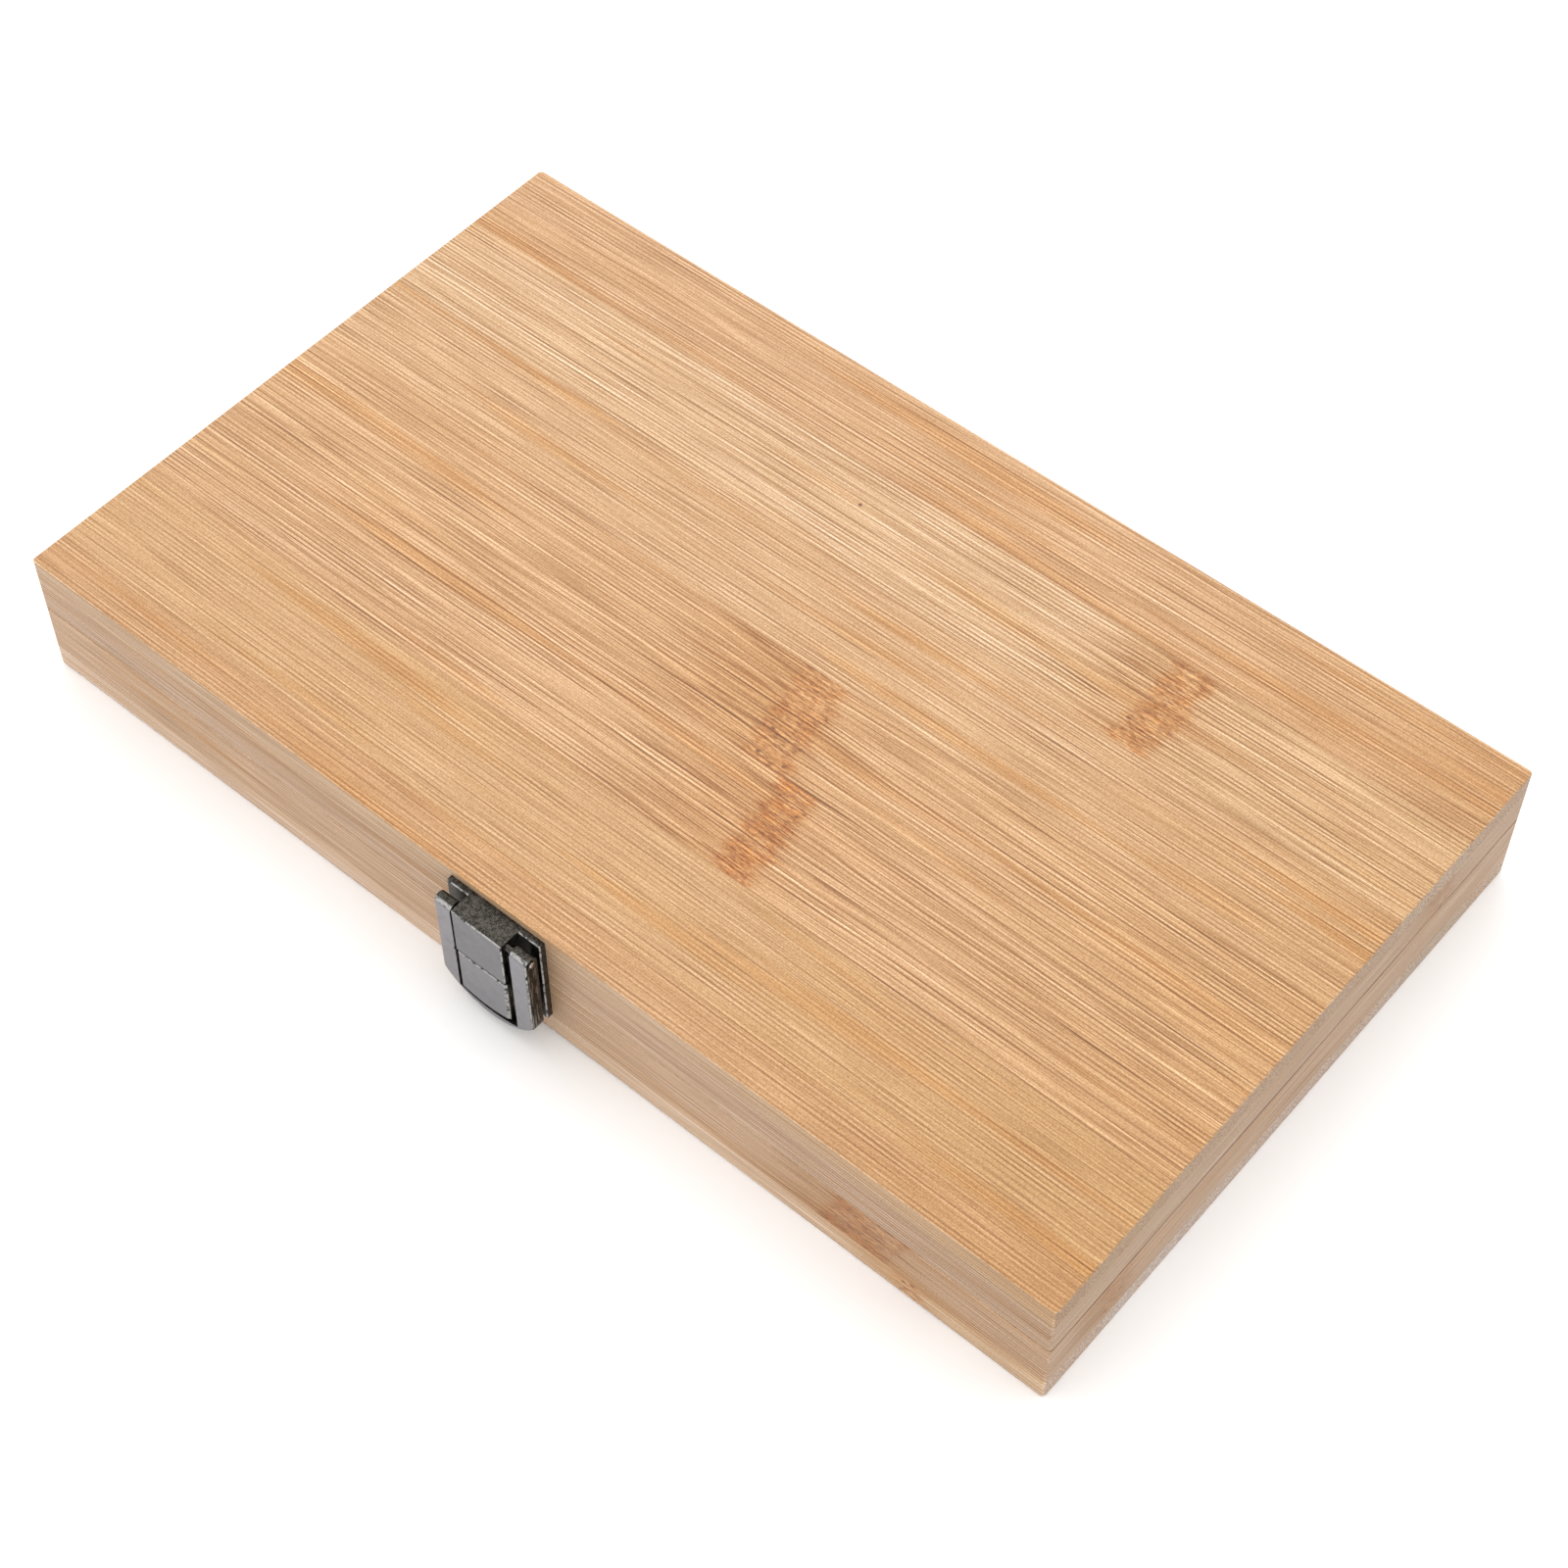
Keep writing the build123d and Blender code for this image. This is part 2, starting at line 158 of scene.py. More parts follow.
# A knuckle is where the cane's joint crosses a strip. Its middle, half its width and how far
# its frayed fibres reach are in millimetres; slant is how far it leans for each millimetre
# across its strip, and brown is how brown it is.
Knuckle = namedtuple("Knuckle", "strip middle half_width reach slant brown")


class Bamboo(Finish):
    """Sanded bamboo in strips, counted from the first joint between them."""

    # Tints, which multiply each strip's own tone
    GOLDEN_STREAK, RICH_STREAK = (0.96, 0.85, 0.66), (0.98, 0.9, 0.74)
    COOL_STREAK = (0.97, 0.97, 1.02)
    DARK_FIBRE, LIT_FIBRE = (0.66, 0.52, 0.38), (1.14, 1.2, 1.28)
    GLUE_LINE = (0.72, 0.6, 0.48)
    HALO, KNUCKLE_RIM = (0.9, 0.79, 0.6), (0.87, 0.72, 0.55)
    KNUCKLE_ORANGE, KNUCKLE_BROWN = (0.85, 0.62, 0.36), (0.8, 0.62, 0.42)
    TORN_DARK, TORN_PALE = (0.6, 0.43, 0.3), (1.28, 1.3, 1.22)
    BETWEEN_BUNDLES, CUT_BUNDLE = (0.5, 0.53, 0.59), (1.24, 1.27, 1.32)
    # Painted shade at the gap between the case's halves; edges lighter from wear and a painted
    # highlight
    LIP, SANDED_EDGE = (0.5, 0.36, 0.25), (1.22, 1.28, 1.36)
    # Colours
    PIT, SPECK = (0.16, 0.06, 0.02), (0.16, 0.07, 0.035)
    # Millimetres: how unevenly a knuckle's fibres end, how soft its sides are outwards and
    # inwards, how far in its rim lies and how wide it is, and where one side turns to the other
    RAGGED, SOFT_OUT, SOFT_IN, RIM_INSET, RIM_WIDTH, CROSSING = 9.0, 1.8, 1.2, 0.6, 2.4, 9.0
    # Millimetres from the middle of the box to where the far end's tone starts and is full
    FAR_START, FAR_FULL = 25.0, 118.0

    def __init__(self, name, axes, first_joint, seed):
        super().__init__(name, SATIN)
        self.first_joint, self.seed = first_joint, seed
        places = self.add("SeparateXYZ", {0: self.millimetres}).outputs
        self.along, self.over, self.deep = (places[axis] for axis in axes)
        self.count = self.work("DIVIDE", self.less(self.over, first_joint), STRIP_WIDTH)
        self.strip = self.work("FLOOR", self.count)
        drawn = {"W": self.plus(self.strip, seed + 0.37)}
        self.luck = self.add("TexWhiteNoise", drawn, noise_dimensions="1D").outputs["Value"]
        self.end_on, self.edge_on, self.flat_on = (self.size(self.facing[axis]) for axis in axes)
        self.lengthwise = self.ease(self.end_on, 0.85, 0.6)
        self.fray = None

    def tint(self, share, tint):
        """The board's colour so far, tinted as far as the share says."""
        self.colour = self.tinted(share, self.colour, tint)

    def shift(self, value, amount):
        """The colour made paler or browner as a noise goes above or below its middle."""
        level = self.line(self.less(value, 0.5), amount, 1.0)
        green, blue = self.work("POWER", level, 1.35), self.work("POWER", level, 1.9)
        self.tint(1.0, self.point(level, green, blue))

    def spots(self, stretch, scale, detail, roughness=0.5):
        """A noise of spots, longer along the grain the smaller the stretch is."""
        drawn_out = self.point(self.times(self.along, stretch), self.over, self.deep)
        return self.noise(drawn_out, scale, detail, roughness)

    def fibres(self, per_mm, length, detail=0.0, roughness=0.5, offset=0.0):
        """Streaks so many to the millimetre and about so long, in millimetres. luck takes each
        strip to a place of its own in the noise."""
        run = self.point(self.line(self.luck, 47.0, self.times(self.along, 1 / length)),
                         self.line(self.run_over, per_mm, offset), self.lane)
        return self.noise(run, 1.0, detail, roughness)

    def tone_strips(self, tones, ending):
        """The strips' own tones, and the board's slow change of tone towards its far end. Each
        tone is a colour and how strong the strip's fibres are."""
        number = float(len(tones))
        turn = self.plus(self.work("WRAP", self.strip, number), 0.5)
        tone = self.add("ValToRGB", {0: self.work("DIVIDE", turn, number)})
        tone.color_ramp.interpolation = "CONSTANT"
        stops = tone.color_ramp.elements
        for n, (colour, strength) in enumerate(tones):
            stop = stops[0] if n == 0 else stops.new(n / len(tones))
            stop.color = (*shade(*colour), strength)
        while len(stops) > len(tones):
            stops.remove(stops[-1])
        far_end = self.blend(self.ease(self.along, self.FAR_START, self.FAR_FULL), PLAIN, ending)
        self.colour = self.tinted(1.0, tone.outputs[0], far_end)
        # The cut ends show hardly any fibres
        self.strength = self.times(tone.outputs["Alpha"], self.line(self.lengthwise, 0.85, 0.15))

    def mark_knuckles(self, knuckles):
        """How near each point is to a knuckle of its own strip. Each fibre ends at its own
        place, so the knuckles have ragged sides."""
        ragged = self.line(self.spots(0.05, 0.5, 4.0, 0.75), self.RAGGED, -self.RAGGED / 2)
        marks = []
        for knuckle in knuckles:
            half_width = knuckle.half_width
            own = self.work("COMPARE", self.strip, float(knuckle.strip), 0.1)
            centre = self.first_joint + (knuckle.strip + 0.5) * STRIP_WIDTH
            lean = self.less(self.along, knuckle.middle)
            off = self.line(self.less(self.over, centre), knuckle.slant, lean)
            apart = self.size(self.plus(off, ragged))
            filled = self.ease(apart, half_width + self.SOFT_OUT, half_width - self.SOFT_IN)
            within = self.times(own, filled)
            from_rim = self.size(self.less(apart, half_width - self.RIM_INSET))
            rim = self.times(own, knuckle.brown, self.ease(from_rim, self.RIM_WIDTH, 0.0))
            fray = self.times(own, self.ease(apart, knuckle.reach, half_width))
            past = self.times(own, self.ease(off, -self.CROSSING, self.CROSSING))
            marks.append((within, self.times(within, knuckle.brown), rim, fray, past))
        self.within, self.stain, self.rim, self.fray, self.past = (
            self.most(*of_all) for of_all in zip(*marks))

    def lay_fibres(self):
        """Long fine lines that wander a little, new in each strip, and more of them, in short
        dashes, where they close up towards a knuckle."""
        along, times, line, ease, fibres = self.along, self.times, self.line, self.ease, self.fibres
        across = line(self.over, 0.1, times(self.luck, 9.0))
        drift = self.noise(self.point(times(along, 0.02), across, self.seed), 1.0, 2.0)
        swing = 0.3 if self.fray is None else line(self.fray, 2.0, 0.3)
        self.run_over = line(self.less(drift, 0.5), swing, self.plus(self.over, self.deep))
        self.lane = line(self.luck, 31.0, self.deep)

        short = fibres(4.0, 14.0, offset=7.7)
        self.fine = fibres(5.8, 20.0, offset=11.0)
        ranks = line(fibres(0.8, 50.0, 1.0, offset=7.0), 3.0, times(self.run_over, 8.0))
        clear = ease(fibres(0.9, 26.0, 1.0, offset=13.0), 0.36, 0.62)
        self.ranks = line(self.work("SINE", ranks), times(clear, 0.36), 0.5)
        self.dark = self.most(times(ease(self.ranks, 0.4, 0.27), ease(short, 0.34, 0.54)),
                              ease(short, 0.36, 0.26))
        self.lit = times(ease(self.ranks, 0.6, 0.73), ease(short, 0.4, 0.56))
        if self.fray is not None:
            fray, past = self.fray, self.past
            dashes = fibres(3.6, 12.0, offset=17.0)
            fewer = line(fray, -0.6, 1.0)
            closing = times(fray, line(times(fray, fray), 3.2, 0.7))
            dark_dashes = times(ease(dashes, 0.44, 0.28), times(closing, line(past, -0.55, 1.0)))
            lit_dashes = times(ease(dashes, 0.56, 0.68), times(fray, line(past, 0.9, 0.5)))
            outside = self.less(1.0, self.within)
            self.dark = times(self.plus(times(self.dark, fewer), dark_dashes), outside)
            self.lit = self.plus(times(self.lit, fewer), lit_dashes)
        raised = self.plus(times(self.fine, 0.4), times(self.ranks, 0.6))
        self.height = times(self.lengthwise, raised)

    def colour_fibres(self):
        """Broad streaks first, then the fibres, then a fine grit."""
        times, ease, fibres, tint = self.times, self.ease, self.fibres, self.tint
        golden = ease(fibres(0.2, 80.0, 1.0, offset=41.0), 0.54, 0.7)
        tint(times(golden, 0.9), self.GOLDEN_STREAK)
        rich = ease(fibres(0.13, 60.0, 2.0), 0.5, 0.72)
        tint(times(rich, 0.4), self.RICH_STREAK)
        cool = ease(fibres(0.2, 45.0, 2.0, offset=31.0), 0.5, 0.7)
        tint(times(cool, 0.5), self.COOL_STREAK)
        weave = self.line(self.ranks, 0.4, times(self.fine, 0.6))
        self.shift(weave, times(self.strength, 1.5))
        present = self.line(ease(fibres(0.3, 40.0, 1.0, offset=23.0), 0.35, 0.62), 0.2, 0.8)
        tint(times(times(self.dark, present), times(self.strength, 0.36)), self.DARK_FIBRE)
        tint(times(times(self.lit, present), times(self.strength, 0.3)), self.LIT_FIBRE)
        self.shift(self.spots(0.7, 4.0, 1.0), 0.8)

    def draw_glue_lines(self):
        half_line = 0.3 / STRIP_WIDTH
        from_joint = self.size(self.less(self.work("FRACT", self.plus(self.count, 0.5)), 0.5))
        self.tint(self.times(self.ease(from_joint, half_line, 0.0), 0.5), self.GLUE_LINE)

    def brown_knuckles(self):
        """Browner wood with short torn fibres and small dark pits, in a paler brown halo."""
        times, ease, tint, within = self.times, self.ease, self.tint, self.within
        halo = times(times(self.fray, self.fray), self.line(self.past, -0.4, 0.72))
        tint(halo, self.HALO)
        blotched = self.point(times(self.along, 1.2), times(self.over, 0.7), self.deep)
        browns = self.blend(ease(self.noise(blotched, 0.3, 2.0), 0.38, 0.62),
                            self.KNUCKLE_ORANGE, self.KNUCKLE_BROWN)
        uneven = self.line(ease(self.spots(0.6, 0.4, 3.0, 0.6), 0.35, 0.6), 0.6, 0.4)
        tint(times(self.stain, uneven), browns)
        tint(times(self.rim, self.line(self.past, -0.25, 0.5)), self.KNUCKLE_RIM)
        torn = self.spots(0.2, 3.6, 1.0)
        tint(times(within, times(ease(torn, 0.5, 0.34), 0.8)), self.TORN_DARK)
        tint(times(within, times(ease(torn, 0.53, 0.66), 0.9)), self.TORN_PALE)

        over_pits = self.point(times(self.along, 0.7), self.over, self.deep)
        pits = self.add("TexVoronoi", {"Vector": over_pits, "Scale": 0.5}).outputs
        drawn = self.add("SeparateColor", {0: pits["Color"]}).outputs[0]
        some = times(ease(within, 0.4, 0.7), ease(drawn, 0.35, 0.5))
        pit = times(ease(pits["Distance"], 0.2, 0.11), some)
        self.colour = self.blend(times(pit, 0.85), self.colour, self.PIT)
        raised = self.plus(self.height, times(within, torn))
        self.height = self.less(raised, times(pit, 0.8))

    def draw_specks(self, specks):
        for x, y in specks:
            places = {0: self.point(self.along, self.over, 0.0), 1: (x, y, 0.0)}
            gap = self.add("VectorMath", places, operation="DISTANCE").outputs["Value"]
            self.colour = self.blend(self.ease(gap, 0.5, 0.2), self.colour, self.SPECK)

    def colour_faces(self, edge, end):
        """The board's edges and cut ends, each with its own tint. The ends show the cut bundles
        as speckles."""
        wide = self.ease(self.flat_on, 0.5, 0.8)
        self.colour = self.blend(wide, self.tinted(1.0, self.colour, edge), self.colour)
        bundles = self.ease(self.spots(0.3, 2.7, 2.0, 0.6), 0.36, 0.62)
        speckled = self.blend(bundles, self.BETWEEN_BUNDLES, self.CUT_BUNDLE)
        cut = self.tinted(1.0, self.tinted(1.0, self.colour, end), speckled)
        self.colour = self.blend(self.lengthwise, cut, self.colour)

    def shade_parting_gap(self, lip):
        """A painted shade in the gap where this board's edge meets the other half of the case."""
        from_lip = self.size(self.less(self.over, lip))
        self.tint(self.ease(from_lip, 0.45, 0.1), self.LIP)

    def lighten_worn_highlit_edges(self):
        """Sharp edges lighter here and there: partly sanding wear, partly a painted highlight."""
        flattest = self.most(self.end_on, self.most(self.edge_on, self.flat_on))
        here_and_there = self.ease(self.noise(self.millimetres, 0.3, 3.0, 0.7), 0.42, 0.6)
        self.tint(self.times(self.ease(flattest, 0.97, 0.8), here_and_there), self.SANDED_EDGE)

    def varnish(self):
        self.give("Base Color", self.colour)
        bands = self.fibres(0.5, 34.0, 2.0, 0.55, 3.0)
        self.give("Roughness", self.line(bands, 0.22, SATIN - 0.1))
        self.relief(self.height, 0.35, GRAIN_DEPTH)


def bamboo(name, axes, tones, seed=0.0, first_joint=0.0, ending=(0.92, 0.87, 0.75), edge=PLAIN,
           end=(0.8, 0.86, 0.98), knuckles=(), specks=(), lip=None):
    """The bamboo of one board. ending, edge and end are the tints of its far end, its narrow
    faces and its cut ends, and lip is the height where it meets the other half of the case."""
    wood = Bamboo(name, axes, first_joint, seed)
    wood.tone_strips(tones, ending)
    if knuckles:
        wood.mark_knuckles(knuckles)
    wood.lay_fibres()
    wood.colour_fibres()
    wood.draw_glue_lines()
    if knuckles:
        wood.brown_knuckles()
    wood.draw_specks(specks)
    wood.colour_faces(edge, end)
    if lip is not None:
        wood.shade_parting_gap(lip)
    wood.lighten_worn_highlit_edges()
    wood.varnish()
    return wood.material


def finish(node, material):
    """A piece made to its true shape already, given its finish."""
    piece = nodes[node]
    piece.data.materials.clear()
    piece.data.materials.append(material)


def finish_board(node, axes, tones, **more):
    """A board given a bamboo of its own."""
    finish(node, bamboo(node.replace("_", " ") + " bamboo", axes, tones, **more))


warm_strips = [((207, 163, 122), 1.0), ((214, 176, 138), 1.1), ((211, 170, 131), 0.8),
               ((209, 167, 128), 1.0), ((208, 166, 126), 1.1), ((203, 162, 120), 0.7),
               ((205, 158, 114), 0.9)]
# Its narrow faces are tinted paler and bluer: painted light bounced up from the white table
finish_board("bottom_panel", LYING_FLAT, warm_strips, seed=11.0, first_joint=-70.0,
             edge=(1.12, 1.34, 1.7), end=(0.88, 0.93, 1.13), knuckles=[
    Knuckle(strip=1, middle=-41.0, half_width=4.5, reach=40.0, slant=0.1, brown=0.9),
    Knuckle(strip=4, middle=30.0, half_width=5.0, reach=45.0, slant=-0.1, brown=0.7),
    Knuckle(strip=0, middle=83.5, half_width=2.4, reach=20.0, slant=0.0, brown=0.5),
])


# ---- Walls of the base: four bamboo strips on edge, mitred at the corners and glued to the
# bottom panel. They are paler and greyer than the panels, with the grain along each wall.

pale_wall = [((190, 155, 123), 1.0)]
grey_ending, faint_ending = (0.9, 0.88, 0.86), (0.95, 0.93, 0.9)
finish_board("base_front_wall", WALL_ALONG_X, [((197, 160, 124), 1.2)], seed=3.0,
             ending=grey_ending, knuckles=[
    Knuckle(strip=0, middle=74.5, half_width=6.5, reach=30.0, slant=-0.5, brown=0.85),
])
finish_board("base_back_wall", WALL_ALONG_X, pale_wall, seed=5.0, knuckles=[
    Knuckle(strip=0, middle=-32.0, half_width=5.0, reach=24.0, slant=0.0, brown=0.7),
])
finish_board("base_left_wall", WALL_ALONG_Y, pale_wall, seed=7.0, ending=faint_ending)
finish_board("base_right_wall", WALL_ALONG_Y, [((185, 152, 121), 1.0)], seed=9.0,
             ending=faint_ending, lip=15.3, knuckles=[
    Knuckle(strip=0, middle=-47.0, half_width=3.0, reach=18.0, slant=0.0, brown=0.4),
])


# ---- Pan rack: two rails and two slats of thin bamboo, glued into the base to keep the
# half pans in two rows. Plain sanded stock with rounded top edges.

rail_bamboo = bamboo("rack rail bamboo", WALL_ALONG_Y, [((207, 170, 130), 0.7)], seed=15.0)
finish("pan_rack_left_rail", rail_bamboo)
finish("pan_rack_right_rail", rail_bamboo)
slat_tone = [((209, 172, 132), 0.7)]
for n, slat in enumerate(("pan_rack_middle_slat", "pan_rack_front_slat")):
    finish(slat, bamboo(f"rack slat bamboo {n + 1}", WALL_ALONG_X, slat_tone, seed=17.0 + n))


# ---- Half pans: 24 small pans of white polystyrene, moulded with a rim, standing in the
# rack in two rows. Semi-gloss, with the faint flow marks of the moulding.

def moulded_plastic(name, colour, roughness, waviness):
    """White moulded plastic, very slightly uneven, with a film of dust in places."""
    plastic = Finish(name, roughness)
    flow = plastic.noise(plastic.millimetres, 0.12, 2.0)
    grain = plastic.noise(plastic.millimetres, 4.0, 2.0)
    film = plastic.ease(plastic.noise(plastic.millimetres, 0.5, 3.0, 0.65), 0.45, 0.75)
    dusty = tuple(c * s for c, s in zip(colour, (0.96, 0.945, 0.92)))
    plastic.give("Base Color", plastic.blend(plastic.times(film, 0.35), colour, dusty))
    plastic.give("Roughness", plastic.line(film, 0.12, roughness))
    plastic.relief(plastic.line(flow, waviness, plastic.times(grain, 0.04)), 0.3, 0.0004)
    plastic.give("IOR", 1.5)
    plastic.give("Subsurface Weight", 0.0)
    return plastic.material


pan_plastic = moulded_plastic("pan polystyrene", (0.6, 0.6, 0.592), roughness=0.3, waviness=0.6)
finish("rear_half_pans", pan_plastic)
finish("front_half_pans", pan_plastic)


# ---- Paints: a cake of dried watercolour in each half pan, poured wet, so that it climbs
# the pan's walls, sinks in the middle and dries with fine cracks. Four cakes to a colour group.

CAKE_COLOURS = {
    "yellow": [(236, 214, 62), (242, 178, 22), (226, 143, 20), (232, 106, 28)],
    "red": [(216, 58, 30), (188, 28, 34), (146, 16, 38), (136, 24, 92)],
    "blue": [(76, 34, 120), (28, 38, 146), (20, 74, 168), (22, 128, 176)],
    "green": [(20, 126, 128), (14, 94, 76), (58, 116, 40), (96, 98, 34)],
    "earth": [(190, 138, 62), (150, 92, 42), (132, 58, 28), (80, 46, 28)],
    "dark": [(62, 42, 32), (44, 54, 72), (92, 92, 90), (30, 30, 32)],
}
CAKE_CORNER = 0.0008     # metres
CAKE_CLEARANCE = 0.00002
CAKE_DRAFT = 0.0612      # how much narrower the cake gets towards its foot, by its height
CAKE_RINGS = (0.985, 0.955, 0.9, 0.8, 0.66, 0.5, 0.34, 0.18)
fixed_noise.seed_set(1)  # without it the cakes would dry differently at each run


def cake_of_paint():
    """The material of every cake: its own colour, with chalky clouds, dark grit and cracks."""
    paint = Finish("dried watercolour", 0.62)
    own = paint.add("Attribute", attribute_name="cake colour").outputs["Color"]
    cloud = paint.noise(paint.millimetres, 0.35, 3.0, 0.6)
    grit = paint.noise(paint.millimetres, 3.2, 3.0, 0.6)
    chalky = paint.blend(0.1, own, (0.55, 0.53, 0.5))
    colour = paint.blend(paint.ease(cloud, 0.42, 0.7), own, chalky)
    gritty = paint.times(paint.ease(grit, 0.5, 0.3), 0.3)
    colour = paint.blend(gritty, colour, paint.tinted(1.0, colour, (0.6, 0.6, 0.6)))

    crooked = {0: paint.millimetres, 1: paint.point(paint.times(cloud, 3.0), grit, 0.0)}
    cells = {"Vector": paint.add("VectorMath", crooked, operation="ADD").outputs[0], "Scale": 0.17}
    from_cell = paint.add("TexVoronoi", cells, feature="DISTANCE_TO_EDGE").outputs["Distance"]
    # The cracks are darkened with painted shade
    crack = paint.times(paint.ease(from_cell, 0.022, 0.006), paint.ease(cloud, 0.5, 0.58))
    crack_shade = paint.tinted(1.0, colour, (0.3, 0.3, 0.3))
    paint.give("Base Color", paint.blend(paint.times(crack, 0.6), colour, crack_shade))
    paint.give("Roughness", paint.line(cloud, 0.3, 0.42))
    bumps = paint.plus(paint.times(cloud, 0.5), paint.times(grit, 0.25))
    paint.relief(paint.less(bumps, crack), 0.6, 0.0003)
    return paint.material


def rounded_loop(half_x, half_y, corner, steps=6):
    """Points round a rectangle with rounded corners, anticlockwise from the right."""
    corner = min(corner, half_x * 0.999, half_y * 0.999)
    points = []
    for quarter, (sx, sy) in enumerate(((1, 1), (-1, 1), (-1, -1), (1, -1))):
        cx, cy = sx * (half_x - corner), sy * (half_y - corner)
        for n in range(steps + 1):
            a = (quarter + n / steps) * pi / 2
            points.append((cx + corner * cos(a), cy + corner * sin(a)))
        if quarter in (0, 2):
            points += [(cx - sx * 2 * abs(cx) * k / 6, sy * half_y) for k in range(1, 6)]
        else:
            points += [(sx * half_x, cy - sy * 2 * abs(cy) * k / 6) for k in range(1, 6)]
    return points


def pour_cake(sheet, middle, half_top, half_foot, low, high, number):
    """One cake: a body with the pan's draft under a dished, uneven top."""
    dish, lean, ripple_height, ripples = 0.0011, 0.0003, 0.00012, 420
    sway = fixed_noise.noise_vector(Vector((number * 3.1, 2.7, 0.4)))
    rings = []
    for half, z in ((half_foot, low), (half_top, high)):
        loop = rounded_loop(half[0], half[1], CAKE_CORNER)
        rings.append([sheet.verts.new((middle[0] + x, middle[1] + y, z)) for x, y in loop])
    for share in CAKE_RINGS:
        inward = 1 - share
        ring = []
        for x, y in rounded_loop(half_top[0] * share, half_top[1] * share,
                                 CAKE_CORNER + inward * 0.004):
            bowl = dish * (1 - share ** 2.2) + lean * inward * sway.x
            across_ripples = Vector((x * ripples + number, y * ripples, number * 1.7))
            ripple = ripple_height * fixed_noise.noise(across_ripples)
            tilt = 0.02 * (sway.y * x + sway.z * y) * inward
            z = high - bowl + (ripple + tilt) * min(1, inward * 6) - CAKE_CLEARANCE
            ring.append(sheet.verts.new((middle[0] + x, middle[1] + y, z)))
        rings.append(ring)
    for lower, upper in zip(rings, rings[1:]):
        for n in range(len(lower)):
            m = (n + 1) % len(lower)
            sheet.faces.new((lower[n], lower[m], upper[m], upper[n]))
    last = rings[-1]
    centre = sheet.verts.new((middle[0], middle[1], sum(v.co.z for v in last) / len(last)))
    for n in range(len(last)):
        sheet.faces.new((last[n], last[(n + 1) % len(last)], centre))
    sheet.faces.new(rings[0][::-1])


def shells(node):
    """The lowest and highest corners of each separate solid in a node, left to right."""
    sheet = bmesh.new()
    sheet.from_mesh(nodes[node].data)
    bmesh.ops.remove_doubles(sheet, verts=sheet.verts, dist=1e-6)
    left, found = set(sheet.verts), []
    while left:
        group, edge = set(), [next(iter(left))]
        while edge:
            vert = edge.pop()
            if vert in group:
                continue
            group.add(vert)
            edge += [e.other_vert(vert) for e in vert.link_edges]
        left -= group
        places = [v.co for v in group]
        found.append((Vector(map(min, zip(*places))), Vector(map(max, zip(*places)))))
    sheet.free()
    return sorted(found, key=lambda box: box[0].x)


dried_paint = cake_of_paint()
for group, colours in CAKE_COLOURS.items():
    sheet = bmesh.new()
    number_of = []
    for n, (low, high) in enumerate(shells(f"{group}_paints")):
        middle = (low + high) / 2
        half_top = [(high[axis] - low[axis]) / 2 - CAKE_CLEARANCE for axis in (0, 1)]
        half_foot = [half - (high.z - low.z) * CAKE_DRAFT for half in half_top]
        before = len(sheet.faces)
        pour_cake(sheet, middle, half_top, half_foot, low.z, high.z, len(group) * 7 + n)
        number_of += [n] * (len(sheet.faces) - before)
    mesh = bpy.data.meshes.new(f"{group}_cakes")
    sheet.to_mesh(mesh)
    sheet.free()
    tint = mesh.color_attributes.new("cake colour", "FLOAT_COLOR", "CORNER")
    for face in mesh.polygons:
        face.use_smooth = True
        for corner in face.loop_indices:
            own = colours[number_of[face.index] % len(colours)]
            tint.data[corner].color = (*shade(*own), 1.0)
    mesh.materials.append(dried_paint)
    cakes = bpy.data.objects.new(f"{group}_cakes", mesh)
    bpy.context.scene.collection.objects.link(cakes)
    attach(cakes, "base")
    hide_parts(f"{group}_paints")


# ---- Mixing palette: a lift-out tray vacuum-formed and trimmed from glossy white plastic,
# with four small and two large wells and a finger notch at each end.

finish("mixing_palette",
       moulded_plastic("palette plastic", (0.61, 0.61, 0.606), roughness=0.2, waviness=1.0))


# ---- Walls of the lid: the same mitred bamboo strips as the base, a little lower, glued
# under the top panel.

LID_JOINT = 12.0  # millimetres; below the lid's walls, so that no glue line falls on them
finish_board("lid_front_wall", WALL_ALONG_X, [((192, 157, 124), 1.15)], seed=23.0,
             first_joint=LID_JOINT, ending=grey_ending)
finish_board("lid_back_wall", WALL_ALONG_X, pale_wall, seed=25.0, first_joint=LID_JOINT)
finish_board("lid_left_wall", WALL_ALONG_Y, pale_wall, seed=27.0, first_joint=LID_JOINT,
             ending=faint_ending)
finish_board("lid_right_wall", WALL_ALONG_Y, [((181, 150, 120), 1.0)], seed=29.0,
             first_joint=LID_JOINT, ending=faint_ending, lip=15.4, knuckles=[
    Knuckle(strip=0, middle=39.0, half_width=3.0, reach=16.0, slant=0.0, brown=0.4),
])


# ---- Top panel: the same 5 mm board as the bottom, with the best face up. Its seven strips
# change in tone, and three of them have a knuckle, where the cane's joints were.

top_strips = [((205, 156, 106), 0.95), ((209, 163, 112), 0.95), ((212, 165, 117), 1.35),
              ((212, 165, 116), 1.3), ((213, 168, 121), 1.15), ((217, 175, 130), 1.3),
              ((211, 164, 117), 1.2)]
finish_board("top_panel", LYING_FLAT, top_strips, seed=1.0, first_joint=-77.1,
             edge=(0.9, 1.08, 1.46), end=(0.81, 0.765, 0.76), specks=[(-10.0, 37.6)], knuckles=[
    Knuckle(strip=5, middle=56.4, half_width=3.6, reach=30.0, slant=0.0, brown=0.95),
    Knuckle(strip=3, middle=12.1, half_width=4.4, reach=52.0, slant=0.15, brown=0.7),
    Knuckle(strip=2, middle=22.8, half_width=3.4, reach=48.0, slant=0.1, brown=1.1),
])


# ---- Butt hinges: pressed steel leaves with rolled knuckles and a plain pin, screwed to the
# back of the base and the lid. Plated to an antique brown-black.

def dimmed(colour, share):
    return tuple(c * share for c in colour)


